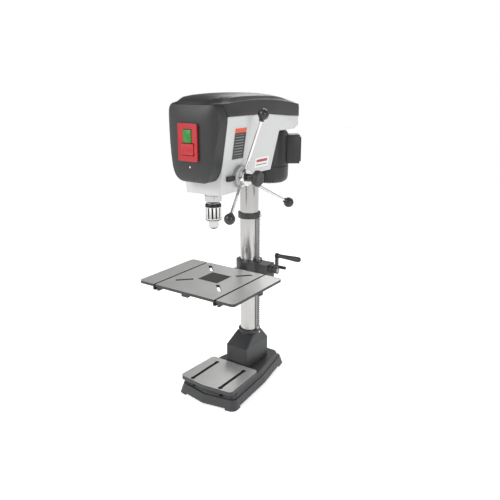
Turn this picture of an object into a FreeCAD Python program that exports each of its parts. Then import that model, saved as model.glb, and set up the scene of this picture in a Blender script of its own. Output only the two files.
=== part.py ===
import FreeCAD, Part
import math
import os
import re
import Sketcher
from FreeCAD import Placement, Rotation, Vector

# A 15 inch bench drill press. Millimetres, +Z up, +Y to the back, +X to the
# operator's right. The origin is on the floor, on the axis of the column.
doc = FreeCAD.newDocument("drill_press")
sheet = doc.addObject("Spreadsheet::Sheet", "dims")

DIMENSIONS = [
    # column, base and rack
    ("column_radius", 36.5), ("column_wall", 5), ("column_foot", 80), ("column_top", 984),
    ("fit", 0.06), ("gap", 0.3),
    ("pad_top", 78), ("base_rim", 62), ("slot_offset", 66), ("slot_half", 6.5), ("slot_end_radius", 9),
    ("slot_front", -290), ("slot_back", -138),
    ("socket_half", 50), ("socket_front", -97), ("socket_back", 68), ("socket_shoulder", 146),
    ("socket_top", 200), ("collar_radius", 44),
    ("rack_foot", 201), ("rack_top", 667), ("rack_half", 8), ("tooth_module", 3),
    ("collar_foot", 668), ("collar_height", 21),
    # spindle, quill and chuck
    ("throat", 227), ("quill_radius", 27), ("quill_foot", 791.5), ("quill_top", 956),
    ("nose_radius", 30), ("nose_foot", 771.7), ("spindle_radius", 12.5), ("spindle_top", 1094),
    ("sleeve_foot", 702.3), ("sleeve_top", 763.5), ("sleeve_radius", 29), ("chuck_radius", 24),
    ("chuck_nose_radius", 18), ("chuck_foot", 672), ("jaw_radius", 3.5), ("jaw_tilt", 15),
    # head
    ("head_front", -284), ("head_foot", 804), ("head_half_foot", 70), ("head_half_top", 112),
    ("head_top", 1066), ("head_wall", 7), ("floor_foot", 1000), ("floor_top", 1010),
    ("tray_end", 188), ("panel_crown", -351), ("panel_foot", 851), ("panel_top", 1104),
    ("lid_end", 190), ("lid_crown", 1138),
    ("hinge_offset", 117), ("hinge_level", 1060),
    # feed
    ("feed_back", -185), ("feed_level", 859), ("pinion_radius", 17), ("feed_shaft_radius", 10),
    ("boss_radius", 37.5), ("boss_face", 98), ("hub_radius", 30), ("hub_end", 122),
    ("knob_out", 178), ("knob_reach", 213), ("knob_radius", 18.5), ("spoke_radius", 5),
    # drive
    ("idler_back", -45), ("motor_back", 143), ("motor_radius", 75), ("motor_foot", 787),
    ("motor_seam", 854), ("motor_top", 1000), ("pulley_foot", 1016), ("pulley_step", 20),
    # table
    ("table_half", 212), ("table_front", -402), ("table_back", -97), ("table_top", 483),
    ("table_thick", 10), ("insert_half", 44.2), ("tee_offset", 135.5), ("tee_half", 3.75),
    ("bracket_foot", 412), ("bracket_top", 500), ("bracket_radius", 52), ("tilt_level", 431),
    ("gear_out", 64.5), ("gear_level", 440), ("crank_level", 471), ("crank_arm", 61),
]
for row, (alias, number) in enumerate(DIMENSIONS, start=1):
    sheet.set("A%d" % row, alias)
    sheet.set("B%d" % row, str(number))
    sheet.setAlias("B%d" % row, alias)
doc.recompute()

UPRIGHT = {
    "z": Rotation(),
    "x": Rotation(Vector(0, 1, 0), 90),
    "y": Rotation(Vector(1, 0, 0), -90),
}
pieces = []


def on_sheet(formula):
    """Name the sheet in front of every alias of a formula."""
    return re.sub(r"[a-z][a-z_]+", r"dims.\g<0>", str(formula))


def value(formula):
    """A formula on the sheet's cells, in millimetres."""
    return float(sheet.evalExpression(on_sheet(formula)))


def point(x, y, z):
    return Vector(value(x), value(y), value(z))


def bind(thing, **formulas):
    for field, formula in formulas.items():
        thing.setExpression(field, on_sheet(formula))
    return thing


def piece(thing, label):
    """Record a finished sub-part; its label names its file."""
    thing.Label = label
    pieces.append(thing)
    return thing


def cylinder(name, radius, length, x, y, z, along="z"):
    rod = doc.addObject("Part::Cylinder", name)
    bind(rod, Radius=radius, Height=length)
    rod.Placement = Placement(point(x, y, z), UPRIGHT[along])
    return rod


def cone(name, radius, end_radius, length, x, y, z, along="z"):
    taper = doc.addObject("Part::Cone", name)
    bind(taper, Radius1=radius, Radius2=end_radius, Height=length)
    taper.Placement = Placement(point(x, y, z), UPRIGHT[along])
    return taper


def ball(name, radius, x, y, z):
    sphere = doc.addObject("Part::Sphere", name)
    bind(sphere, Radius=radius)
    sphere.Placement = Placement(point(x, y, z), Rotation())
    return sphere


def block(name, low, high):
    """A box from its lowest corner to its highest one."""
    solid = doc.addObject("Part::Box", name)
    bind(solid, Length="(%s)-(%s)" % (high[0], low[0]))
    bind(solid, Width="(%s)-(%s)" % (high[1], low[1]))
    bind(solid, Height="(%s)-(%s)" % (high[2], low[2]))
    solid.Placement = Placement(point(*low), Rotation())
    return solid


def joined(name, *solids):
    union = doc.addObject("Part::MultiFuse", name)
    union.Shapes = list(solids)
    return union


def group(name, *solids):
    """Separate solids that share one node."""
    bundle = doc.addObject("Part::Compound", name)
    bundle.Links = list(solids)
    return bundle


def minus(name, base, *tools):
    cut = doc.addObject("Part::Cut", name)
    cut.Base = base
    cut.Tool = tools[0] if len(tools) == 1 else joined(name + "_tools", *tools)
    return cut


def common(name, *solids):
    overlap = doc.addObject("Part::MultiCommon", name)
    overlap.Shapes = list(solids)
    return overlap


def ring(name, outer, inner, length, x, y, z, along="z"):
    """A tube with square ends."""
    rod = cylinder(name + "_outer", outer, length, x, y, z, along)
    hole = cylinder(name + "_inner", inner, length, x, y, z, along)
    return minus(name, rod, hole)


def rounded_wire(corners, radius):
    """A closed outline of straight runs whose corners are arcs of one radius."""
    edges = []
    ends = []
    count = len(corners)
    for index in range(count):
        corner = corners[index]
        back = (corners[index - 1] - corner).normalize()
        ahead = (corners[(index + 1) % count] - corner).normalize()
        half_turn = back.getAngle(ahead) / 2
        reach = radius / math.tan(half_turn)
        middle = (back + ahead).normalize() * (radius / math.sin(half_turn) - radius)
        first = corner + back * reach
        last = corner + ahead * reach
        edges.append(Part.Arc(first, corner + middle, last).toShape())
        ends.append((first, last))
    for index in range(count):
        start = ends[index - 1][1]
        finish = ends[index][0]
        if start.distanceToPoint(finish) > 0.001:
            edges.append(Part.LineSegment(start, finish).toShape())
    return Part.Wire(Part.__sortEdges__(edges))


def outline(name, plane, corners, radius, level):
    """A flat outline on a plane across an axis, at a level along that axis."""
    lift = value(level)
    spots = []
    for first, second in corners:
        across = value(first)
        up = value(second)
        if plane == "z":
            spots.append(Vector(across, up, lift))
        elif plane == "x":
            spots.append(Vector(lift, across, up))
        else:
            spots.append(Vector(across, lift, up))
    loop = doc.addObject("Part::Feature", name)
    loop.Shape = rounded_wire(spots, radius) if radius else Part.makePolygon(spots + spots[:1])
    return loop


def prism(name, plane, corners, radius, low, high):
    """An outline drawn out along the axis that it lies across."""
    solid = doc.addObject("Part::Extrusion", name)
    solid.Base = outline(name + "_outline", plane, corners, radius, low)
    directions = {"x": Vector(1, 0, 0), "y": Vector(0, 1, 0), "z": Vector(0, 0, 1)}
    solid.DirMode = "Custom"
    solid.Dir = directions[plane]
    solid.Solid = True
    bind(solid, LengthFwd="(%s)-(%s)" % (high, low))
    return solid


def loft(name, *loops):
    solid = doc.addObject("Part::Loft", name)
    solid.Sections = list(loops)
    solid.Solid = True
    solid.Ruled = True
    return solid


def turned(name, profile, x, y, z, along="z"):
    """A body of revolution from radius and height formulas, foot to top."""
    body = doc.addObject("PartDesign::Body", name)
    sketch = body.newObject("Sketcher::SketchObject", name + "_profile")
    planes = [plane for plane in body.Origin.OriginFeatures if plane.Role == "XZ_Plane"]
    sketch.AttachmentSupport = [(planes[0], "")]
    sketch.MapMode = "FlatFace"
    spots = [Vector(value(radius), value(height), 0) for radius, height in profile]
    count = len(spots)
    for index in range(count):
        sketch.addGeometry(Part.LineSegment(spots[index], spots[(index + 1) % count]), False)
    for index in range(count):
        sketch.addConstraint(Sketcher.Constraint("Coincident", index, 2, (index + 1) % count, 1))
    for index, (radius, height) in enumerate(profile):
        hold(sketch, index, "DistanceX", -2, radius)
        hold(sketch, index, "DistanceY", -1, height)
    revolution = body.newObject("PartDesign::Revolution", name + "_revolution")
    revolution.Profile = sketch
    revolution.ReferenceAxis = (sketch, ["V_Axis"])
    revolution.Angle = 360
    body.Placement = Placement(point(x, y, z), UPRIGHT[along])
    return body


def hold(sketch, index, kind, axis, formula):
    """Tie the start of a line to an axis, or to its formula's distance from the origin."""
    distance = value(formula)
    if abs(distance) < 1e-9:
        sketch.addConstraint(Sketcher.Constraint("PointOnObject", index, 1, axis))
    else:
        number = sketch.addConstraint(Sketcher.Constraint(kind, -1, 1, index, 1, distance))
        sketch.setExpression("Constraints[%d]" % number, on_sheet(formula))


def toothed(name, radius, teeth, module_size, width, bore, at, along, phase=0.0):
    """A spur gear with straight-sided teeth, slim enough to run with backlash."""
    pitch = 2 * math.pi / teeth
    crown = radius + 0.85 * module_size
    root = radius - 1.2 * module_size
    spots = []
    for tooth in range(teeth):
        middle = tooth * pitch + phase
        for share, reach in ((-0.24, root), (-0.10, crown), (0.10, crown), (0.24, root)):
            angle = middle + share * pitch
            spots.append(Vector(reach * math.cos(angle), reach * math.sin(angle), 0))
    blank = Part.Face(Part.makePolygon(spots + spots[:1])).extrude(Vector(0, 0, width))
    gear = doc.addObject("Part::Feature", name)
    gear.Shape = blank.cut(Part.makeCylinder(bore, width)) if bore else blank
    gear.Placement = Placement(at, UPRIGHT[along])
    return gear


# ---------------------------------------------------------------- base
BASE_CORNERS = [(-136, -298), (0, -322), (136, -298), (118, -60), (80, 148), (-80, 148), (-118, -60)]


def base_loop(name, inset, level):
    """The plan of the base, drawn in towards the middle by an inset."""
    corners = []
    for across, back in BASE_CORNERS:
        pull = 1 - inset / 150
        corners.append((across * pull, (back + 90) * pull - 90))
    return outline(name, "z", corners, 24, level)


skirt = loft("base_skirt", base_loop("skirt_low", 0, 0), base_loop("skirt_high", 9, 38))
apron = loft("base_apron", base_loop("apron_low", 14, 38), base_loop("apron_high", 22, "base_rim"))
pad = prism("base_pad", "z", [(-121, -298), (0, -310), (121, -298), (111, -104), (-111, -104)], 14,
            "base_rim", "pad_top")
hollow = loft("base_hollow", base_loop("hollow_low", 12, -1), base_loop("hollow_high", 34, 52))
slot_tools = []
for side in (-1, 1):
    middle = "%d*slot_offset" % side
    slot_tools.append(block("base_slot", ("%s-slot_half" % middle, "slot_front", 40),
                            ("%s+slot_half" % middle, "slot_back", 90)))
    for end in ("slot_front", "slot_back"):
        slot_tools.append(cylinder("slot_end", "slot_end_radius", 50, middle, end, 40))
side_arch = block("side_arch", (-160, -255, -1), (160, 95, 7))
front_arch = block("front_arch", (-95, -340, -1), (95, -200, 7))
rear_arch = block("rear_arch", (-52, -200, -1), (52, 170, 7))
foot_spots = [(-108, -273), (108, -273), (-62, 120), (62, 120)]
foot_pads = [cylinder("foot_pad", 13, 30, x, y, 0) for x, y in foot_spots]
bolt_spots = [(-37, -84), (37, -84), (-37, 56), (37, 56)]
bolt_bores = [cylinder("bolt_bore", 5.2, 60, x, y, 20) for x, y in bolt_spots]
base_shell = minus("base_shell", joined("base_blank", skirt, apron, pad), hollow, side_arch, front_arch,
                   rear_arch)
base = minus("base", joined("base_footed", base_shell, *foot_pads), *slot_tools, *bolt_bores)
piece(base, "base")

SOCKET_PLAN = [("-socket_half", "socket_front"), ("socket_half", "socket_front"),
               ("socket_half", "socket_back"), ("-socket_half", "socket_back")]
foot = prism("socket_foot", "z", SOCKET_PLAN, 10, "base_rim", "socket_shoulder")
lower_loop = outline("shoulder_loop", "z", SOCKET_PLAN, 10, "socket_shoulder")
upper_loop = outline("neck_loop", "z", [(-42, -44), (42, -44), (42, 43), (-42, 43)], 20, "socket_top-14")
shoulders = loft("socket_shoulders", lower_loop, upper_loop)
neck = cylinder("socket_neck", "collar_radius", "30", 0, 0, "socket_top-30")
column_bore = cylinder("column_bore", "column_radius+fit", 200, 0, 0, "column_foot")
socket_bolts = [cylinder("socket_bolt_bore", 5.2, 34, x, y, "base_rim") for x, y in bolt_spots]
set_screw_bore = cylinder("set_screw_bore", 4, 30, 30, 0, "socket_top-9", "x")
piece(minus("column_socket", joined("socket_blank", foot, shoulders, neck), column_bore, set_screw_bore,
            *socket_bolts), "column_socket")

bolts = []
for x, y in bolt_spots:
    shank = cylinder("base_bolt_shank", 5, 48, x, y, 46)
    head = cylinder("base_bolt_head", 9, 6, x, y, 45.8)
    bolts.append(joined("base_bolt", shank, head))
piece(group("base_bolts", *bolts), "base_bolts")

column_tube = cylinder("column_tube", "column_radius", "column_top-column_foot", 0, 0, "column_foot")
column = minus("column", column_tube,
               cylinder("column_inside", "column_radius-column_wall", 1000, 0, 0, 70))
piece(column, "column")

piece(ring("rack_collar", "collar_radius", "column_radius+fit", "collar_height", 0, 0, "collar_foot"),
      "rack_collar")

# ---------------------------------------------------------------- rack
PITCH = math.pi * value("tooth_module")
rack_pitch_line = value("gear_out") - 18


def rack_bar():
    """Teeth that point outwards, with one gap level with the gear's axis."""
    inner = value("column_radius+gap")
    crown = rack_pitch_line + 0.85 * value("tooth_module")
    root = rack_pitch_line - 1.2 * value("tooth_module")
    foot = value("rack_foot+gap")
    top = value("rack_top")
    spots = [Vector(inner, 0, foot), Vector(root, 0, foot)]
    level = value("gear_level") - PITCH * math.floor((value("gear_level") - foot - 8) / PITCH) + PITCH / 2
    while level + PITCH / 2 < top:
        for share, reach in ((-0.24, root), (-0.10, crown), (0.10, crown), (0.24, root)):
            spots.append(Vector(reach, 0, level + share * PITCH))
        level += PITCH
    spots += [Vector(root, 0, top), Vector(inner, 0, top)]
    half = value("rack_half")
    face = Part.Face(Part.makePolygon(spots + spots[:1]))
    face.translate(Vector(0, -half, 0))
    return face.extrude(Vector(0, 2 * half, 0))


rack_stock = doc.addObject("Part::Feature", "rack_stock")
rack_stock.Shape = rack_bar()
piece(minus("rack", rack_stock, cylinder("rack_seat", "column_radius+gap", 600, 0, 0, 150)), "rack")

# ---------------------------------------------------------------- head casting
def leaning(name, margin, foot, top):
    """The head's leaning sides: wider at the top, drawn in by a margin."""
    low = value(foot)
    high = value(top)
    slope = value("(head_half_top-head_half_foot)/(head_top-head_foot)")
    low_half = value("head_half_foot") + slope * (low - value("head_foot")) - margin
    high_half = value("head_half_foot") + slope * (high - value("head_foot")) - margin
    return prism(name, "y", [(-low_half, low), (low_half, low), (high_half, high), (-high_half, high)], 0,
                 "-400", "230")


def plan(name, margin, foot, top):
    """The head seen from above: straight sides that draw in at the back."""
    half = value("head_half_top") - margin
    end = value("tray_end") - margin
    corners = [(-half, -290), (half, -290), (half, 20), (half - 10, end), (10 - half, end), (-half, 20)]
    return prism(name, "z", corners, 3 if margin else 2, foot, top)


SIDE = [("head_front", "head_foot"), (-165, "head_foot"), (-128, 857), (26, 857), (48, "floor_foot"),
        (158, "floor_foot"), ("tray_end", 1014), ("tray_end", 1045), (-60, "head_top"),
        ("head_front", "head_top")]
ROOM_SIDE = [(-276, "head_foot+9"), (-170, "head_foot+9"), (-134, 866), (19, 866), (40, "floor_foot"),
             (-276, "floor_foot")]
casting_outer = common("casting_outer", leaning("casting_sides", 0, "head_foot-1", "head_top+1"),
                       plan("casting_plan", 0, "head_foot-1", "head_top+1"),
                       prism("casting_profile", "x", SIDE, 0, -130, 130))
lower_room = common("lower_room", leaning("room_sides", value("head_wall"), "head_foot", "head_top"),
                    prism("room_profile", "x", ROOM_SIDE, 0, -130, 130))
upper_room = common("upper_room", leaning("tray_sides", value("head_wall"), "head_foot", "head_top+20"),
                    plan("tray_plan", value("head_wall"), "head_foot", "head_top+20"),
                    prism("tray_profile", "x", [(-276, "floor_top"), (170, "floor_top"), (181, 1016),
                                                (181, 1080), (-276, 1080)], 0, -130, 130))
quill_sleeve = cylinder("quill_sleeve", 37, "900-head_foot", 0, "-throat", "head_foot")
column_sleeve = cylinder("column_sleeve", 47, "floor_top-857", 0, 0, 857)
sleeve_web = block("sleeve_web", (-8, -192, 857), (8, -40, "floor_top"))
bearing_boss = cylinder("bearing_boss", 36, "floor_top-984", 0, "-throat", 984)
feed_boss = cylinder("feed_boss", "boss_radius", "2*boss_face", "-boss_face", "feed_back", "feed_level",
                     "x")
boss_room = block("boss_room", (-64, -232, 812), (64, -140, 906))
feed_tube = cylinder("feed_tube", 17, "2*boss_face-20", "10-boss_face", "feed_back", "feed_level", "x")
mount_spots = [(-46, 129), (46, 129), (-46, 157), (46, 157)]
mount_holes = [cylinder("mount_hole", 3.56, 40, x, y, 985) for x, y in mount_spots]
shell = joined("casting_shell", minus("casting_walls", casting_outer, lower_room, upper_room),
               quill_sleeve, column_sleeve, sleeve_web, bearing_boss,
               minus("feed_bosses", feed_boss, boss_room), feed_tube)
piece(minus("head_casting", shell,
            cylinder("quill_bore", "quill_radius+fit", 120, 0, "-throat", 790),
            cylinder("column_seat", "column_radius+fit", "column_top-856", 0, 0, 856),
            cylinder("feed_bore", "feed_shaft_radius+fit", 240, -120, "feed_back", "feed_level", "x"),
            cylinder("pinion_window", 21, 34, -17, "feed_back", "feed_level", "x"),
            cylinder("bearing_seat", 28, 40, 0, "-throat", 984),
            cylinder("motor_window", 20, 30, 0, "motor_back", 990),
            block("pulley_opening", (-100, -290, "floor_top+3"), (100, -270, 1070)),
            cylinder("gland_hole", 9, 40, -70, 20, 930, "y"),
            *mount_holes), "head_casting")

screw_low = cylinder("socket_set_screw", 3.9, 13, "column_radius+1", 0, "socket_top-9", "x")
screw_ring = cylinder("collar_set_screw", 3.9, 12, "collar_radius+0.1", 0, "collar_foot+11", "x")
piece(group("set_screws", screw_low, screw_ring), "set_screws")

# ---------------------------------------------------------------- front panel and lid
PANEL_SIDE = [("head_front-0.2", "panel_foot"), (-326, "panel_foot"), (-340, 872), (-349, 920),
              ("panel_crown", 980), (-348, 1050), (-340, 1085), (-326, "panel_top"), (-306.6, "panel_top"),
              (-285.6, 1065), ("head_front-0.2", 1063)]
SHIELD_SPOTS = [(-46, 851), (46, 851), (67, 862), (80, 886), (113, 1066), (113, 1104), (-113, 1104),
                (-113, 1066), (-80, 886), (-67, 862)]


def panel_form(name, margin):
    """The bowed front of the head, as the overlap of its plan, side and front outlines."""
    across = 112 - margin
    front = value("panel_crown") + margin
    plan_loop = [(-across, -280), (-across, front + 34), (-64, front + 7), (0, front), (64, front + 7),
                 (across, front + 34), (across, -280)]
    spread = leaning(name + "_sides", margin, "panel_foot-1", "panel_top+1")
    bow = prism(name + "_bow", "z", plan_loop, 4, "panel_foot-2", "panel_top+2")
    side = prism(name + "_side", "x", PANEL_SIDE, 0, -130, 130)
    shield = [(across - math.copysign(margin, across), level) for across, level in SHIELD_SPOTS]
    face = prism(name + "_face", "y", shield, 0, -360, -270)
    return common(name, spread, bow, side, face)


panel_room = panel_form("panel_room", 3)
panel_room.Placement = Placement(Vector(0, 3, 0), Rotation())
switch_opening = block("switch_opening", (-30, -360, 940), (30, -330, 1030))
panel_inside = common("panel_inside", panel_room,
                      block("panel_inside_limits", (-110, -350, "panel_foot+4"), (110, -280, 1100)))
piece(minus("front_panel", panel_form("panel_outer", 0), panel_inside, switch_opening), "front_panel")

LID_SIDE = [("head_front-21", "panel_top+1"), ("head_front-0.5", 1067), (-60, 1067), ("lid_end", 1046),
            ("lid_end", 1092), (150, 1109), (90, 1124), (0, 1135), (-110, "lid_crown"), (-235, 1136),
            (-300, 1128), (-328, 1118), (-338, "panel_top+1")]
LID_FRONT = [(-112, 1040), (112, 1040), (109, 1112), (86, 1130), (40, 1137), (0, "lid_crown"), (-40, 1137),
             (-86, 1130), (-109, 1112)]


def lid_form(name, margin, drop):
    """The top cover, as the overlap of its side arch, its cross-section and its plan."""
    shrink = 1 - margin / 112
    arch = prism(name + "_arch", "x", LID_SIDE, 0, -120, 120)
    arch.Placement = Placement(Vector(0, 0, -drop), Rotation())
    cross_loop = [(across * shrink, level) for across, level in LID_FRONT]
    cross = prism(name + "_cross", "y", cross_loop, 0, -345 + margin, value("lid_end") - margin)
    cross.Placement = Placement(Vector(0, 0, -drop), Rotation())
    half = 112 - margin
    end = value("lid_end") - margin
    front = -342 + margin
    loop = [(-half, -295), (-70, front + 4), (70, front + 4), (half, -295), (half, 20), (half - 9, end),
            (9 - half, end), (-half, 20)]
    seen_from_above = prism(name + "_plan", "z", loop, 12, 1000, 1150)
    return common(name, arch, cross, seen_from_above)


lid_outer = lid_form("lid_outer", 0, 0)
piece(minus("lid", lid_outer, lid_form("lid_room", 3.5, 3.5)), "lid")

base_leaves = []
cover_leaves = []
for back in (-150, 60):
    plate_blank = block("hinge_plate", (-114.6, back - 28, 1038), (-105, back + 28, "hinge_level-7.5"))
    web = block("hinge_web", ("-hinge_offset", back - 28, "hinge_level-9"),
                (-112.6, back - 6, "hinge_level-2.5"))
    knuckle = ring("hinge_knuckle", 4, 2.05, 22, "-hinge_offset", back - 28, "hinge_level", "y")
    pin = cylinder("hinge_pin", 2, 56, "-hinge_offset", back - 30, "hinge_level", "y")
    seated = minus("hinge_seated", joined("hinge_back", plate_blank, web), casting_outer)
    base_leaves.append(joined("hinge_leaf", seated, knuckle, pin))
    cover_plate = block("cover_plate", (-114.6, back - 28, "hinge_level+6"), (-105, back + 28, 1086))
    cover_web = block("cover_web", ("-hinge_offset", back + 0.5, "hinge_level+2.5"),
                      (-112.3, back + 22, "hinge_level+7"))
    cover_knuckle = ring("cover_knuckle", 4, 2.08, 21, "-hinge_offset", back + 0.5, "hinge_level", "y")
    riveted = minus("cover_seated", cover_plate, lid_outer)
    cover_leaves.append(joined("cover_leaf", riveted, cover_web, cover_knuckle))
piece(group("lid_hinge_base", *base_leaves), "lid_hinge_base")
piece(group("lid_hinge_cover", *cover_leaves), "lid_hinge_cover")

# ---------------------------------------------------------------- plates, lamp, pointer and gland
slope_angle = math.degrees(math.atan(value("(head_half_top-head_half_foot)/(head_top-head_foot)")))


def side_plate(label, length, height, back, level):
    """A thin plate on the right side of the head, leaning with it."""
    plate = doc.addObject("Part::Box", label)
    bind(plate, Length=0.8, Width=length, Height=height)
    out = value("head_half_foot") + (level - value("head_foot")) * math.tan(math.radians(slope_angle))
    plate.Placement = Placement(Vector(out, back, level), Rotation(Vector(0, 1, 0), slope_angle))
    return piece(plate, label)


side_plate("warning_plate", 68, 107, -237, 921)
side_plate("badge_plate", 92, 37, -90, 876)
piece(block("depth_pointer", (80, -257, 851), (93, "feed_back-42.5", 867)), "depth_pointer")
gland = joined("gland_blank", cylinder("gland_stem", 8.9, 15, -70, 26, 930, "y"),
               cylinder("gland_nut", 12, 10, -70, 39.6, 930, "y"))
piece(minus("cord_gland", gland, cylinder("gland_bore", 4, 40, -70, 20, 930, "y")), "cord_gland")

# ---------------------------------------------------------------- switch
bezel = block("switch_bezel", (-40, "panel_crown-7", 924), (40, "panel_crown-0.1", 1046))
inner_room = block("switch_room", (-28, -365, 942), (28, -330, 1029))
switch_box = block("switch_box", (-29.5, "panel_crown-1", 940.5), (29.5, -310, 1029.5))
box_room = block("box_room", (-27, -360, 943), (27, -313, 1028))
piece(minus("switch_housing", joined("switch_blank", bezel, switch_box), inner_room, box_room),
      "switch_housing")
piece(block("start_button", (-17, "panel_crown-7.5", 984), (17, -322, 1027)), "start_button")
paddle = joined("paddle_blank",
                block("paddle_face", (-26, "panel_crown-11", 945), (26, "panel_crown-1", 982)),
                block("paddle_stem", (-24, "panel_crown-2", 946), (24, -322, 981)))
piece(paddle, "stop_paddle")

# ---------------------------------------------------------------- quill, spindle and chuck
quill_tube = turned("quill_tube", [(14.5, 0), ("quill_radius", 0), ("quill_radius", "quill_top-quill_foot"),
                                   (14.5, "quill_top-quill_foot")], 0, "-throat", "quill_foot")


def quill_rack_gaps():
    """Square gaps across the back of the quill, in step with the pinion."""
    pitch = 2 * math.pi
    gaps = []
    count = 16
    for index in range(-2, count):
        level = value("feed_level") + index * pitch
        corner = Vector(-16.5, value("21.9-throat"), level - pitch * 0.31)
        gaps.append(Part.makeBox(33, 8, pitch * 0.62, corner))
    return Part.makeCompound(gaps)


gap_tools = doc.addObject("Part::Feature", "quill_gaps")
gap_tools.Shape = quill_rack_gaps()
piece(minus("quill", quill_tube, gap_tools), "quill")
piece(ring("quill_collar", "nose_radius", 14.5, "quill_foot-nose_foot", 0, "-throat", "nose_foot"),
      "quill_collar")
bearing_low = ring("bearing_low", 14.45, "spindle_radius+fit", 12, 0, "-throat", "quill_foot+2")
bearing_high = ring("bearing_high", 14.45, "spindle_radius+fit", 12, 0, "-throat", "quill_top-16")
piece(group("quill_bearings", bearing_low, bearing_high), "quill_bearings")

spindle = turned("spindle", [(0, 0), (8.5, 0), (10, 26), (10, 36), ("spindle_radius", 38),
                             ("spindle_radius", "spindle_top-740"), (0, "spindle_top-740")],
                 0, "-throat", 740)
piece(spindle, "spindle")
chuck_blank = turned("chuck_blank", [(0, 0), ("chuck_nose_radius-4", 0), ("chuck_nose_radius", 5),
                                     ("chuck_nose_radius", "sleeve_foot-1.3-chuck_foot"),
                                     ("chuck_radius", "sleeve_foot-chuck_foot"),
                                     ("chuck_radius", "sleeve_top+1-chuck_foot"),
                                     (16, "sleeve_top+5-chuck_foot"), (0, "sleeve_top+5-chuck_foot")],
                     0, "-throat", "chuck_foot")
JAW_FOOT = 669.5


def jaw_place(turn):
    """The tip of a jaw and the way it slides open, up and away from the middle."""
    tilt = math.radians(value("jaw_tilt"))
    angle = math.radians(turn)
    way = Vector(math.sin(tilt) * math.cos(angle), math.sin(tilt) * math.sin(angle), math.cos(tilt))
    tip = Vector(4.6 * math.cos(angle), 4.6 * math.sin(angle) - value("throat"), JAW_FOOT)
    return tip, way


jaw_bores = []
for turn in (90, 210, 330):
    tip, way = jaw_place(turn)
    bore = cylinder("jaw_bore", "jaw_radius+gap", 58, 0, 0, 0)
    bore.Placement = Placement(tip - way * 4, Rotation(Vector(0, 0, 1), way))
    jaw_bores.append(bore)
spindle_socket = turned("spindle_socket", [(0, 0), (8.56, 0), (10.06, 26), (10.06, 40), (0, 40)],
                        0, "-throat", 740)
piece(minus("chuck_body", chuck_blank, spindle_socket, *jaw_bores), "chuck_body")
for number, turn in enumerate((90, 210, 330), start=1):
    tip, way = jaw_place(turn)
    jaw = doc.addObject("Part::Cylinder", "jaw_%d" % number)
    bind(jaw, Radius="jaw_radius", Height=36)
    jaw.Placement = Placement(tip, Rotation(Vector(0, 0, 1), way))
    trimmed = minus("chuck_jaw_%d" % number, jaw, block("jaw_trim", (-20, "-throat-20", 660),
                                                        (20, "20-throat", JAW_FOOT + 0.5)))
    piece(trimmed, "chuck_jaw_%d" % number)
sleeve_height = "sleeve_top-sleeve_foot"
sleeve_blank = turned("sleeve_blank", [("chuck_radius+gap", 0), ("sleeve_radius-1", 0),
                                       ("sleeve_radius", 1.5), ("sleeve_radius", 52),
                                       ("sleeve_radius-3", 58), ("chuck_radius+gap", sleeve_height)],
                      0, "-throat", "sleeve_foot")
key_teeth = []
for tooth in range(24):
    notch = doc.addObject("Part::Box", "key_notch")
    bind(notch, Length=8, Width=3.2, Height=5)
    angle = tooth * 360 / 24
    turn = Rotation(Vector(0, 0, 1), angle)
    corner = turn.multVec(Vector(25.6, -1.6, 0)) + Vector(0, -value("throat"), value("sleeve_foot") - 2)
    notch.Placement = Placement(corner, turn)
    key_teeth.append(notch)
piece(minus("chuck_sleeve", sleeve_blank, *key_teeth), "chuck_sleeve")

# ---------------------------------------------------------------- feed
shaft = cylinder("feed_rod", "feed_shaft_radius", "hub_end+boss_face+16-2", "-boss_face-16", "feed_back",
                 "feed_level", "x")
pinion = toothed("feed_pinion", value("pinion_radius"), 17, 2, 32, 0,
                 point(-16, "feed_back", "feed_level"), "x", 2 * math.pi * 0.75 / 17)
piece(joined("feed_shaft", shaft, pinion), "feed_shaft")
hub = turned("hub_blank", [("feed_shaft_radius", 0), ("hub_radius-1.5", 0), ("hub_radius", 1.5),
                           ("hub_radius", 22), ("hub_radius-2", 24), ("feed_shaft_radius", 24)],
             "boss_face+0.4", "feed_back", "feed_level", "x")
piece(hub, "feed_hub")
SPOKE_START = 110
spokes = []
knobs = []
for turn in (88.4, 208.4, 328.4):
    angle = math.radians(turn)
    rim = Vector(0, math.cos(angle), math.sin(angle))
    centre = point("knob_out", "feed_back", "feed_level") + rim * value("knob_reach")
    start = point(SPOKE_START, "feed_back", "feed_level") + rim * (value("hub_radius") - 1)
    way = (centre - start).normalize()
    span = (centre - start).Length - 24
    rod = cylinder("spoke_rod", "spoke_radius", span + 8, 0, 0, 0)
    rod.Placement = Placement(start + way, Rotation(Vector(0, 0, 1), way))
    spokes.append(rod)
    collar = cone("knob_collar", 8.5, 11, 16, 0, 0, 0)
    collar.Placement = Placement(start + way * span, Rotation(Vector(0, 0, 1), way))
    grip = ball("knob_ball", "knob_radius", 0, 0, 0)
    grip.Placement = Placement(centre, Rotation())
    socket = cylinder("knob_socket", "spoke_radius", 9.2, 0, 0, 0)
    socket.Placement = Placement(start + way * (span - 0.2), Rotation(Vector(0, 0, 1), way))
    knobs.append(minus("feed_knob", joined("knob_blank", collar, grip), socket))
hub_cap_room = cylinder("hub_clear", "hub_radius+0.1", 30, "boss_face", "feed_back", "feed_level", "x")
piece(minus("feed_spokes", group("spoke_rods", *spokes), hub_cap_room), "feed_spokes")
piece(group("feed_knobs", *knobs), "feed_knobs")
LOCK_KNOB_SIDE = [(0, 0), (13.5, 0), (13.5, 16), (19, 22), (28, 28), (28, 45), (25, 48), (0, 48)]
lock_knob = turned("depth_lock_knob", LOCK_KNOB_SIDE, "hub_end+1", "feed_back", "feed_level", "x")
piece(lock_knob, "depth_lock_knob")
piece(ring("depth_ring", "boss_radius+3.5", "boss_radius+gap", 9, 88, "feed_back", "feed_level", "x"),
      "depth_ring")
spring_can = turned("spring_can", [(12.5, 0), (30, 0), (30, 15), (12.5, 15)],
                    "-boss_face-15", "feed_back", "feed_level", "x")
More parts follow.
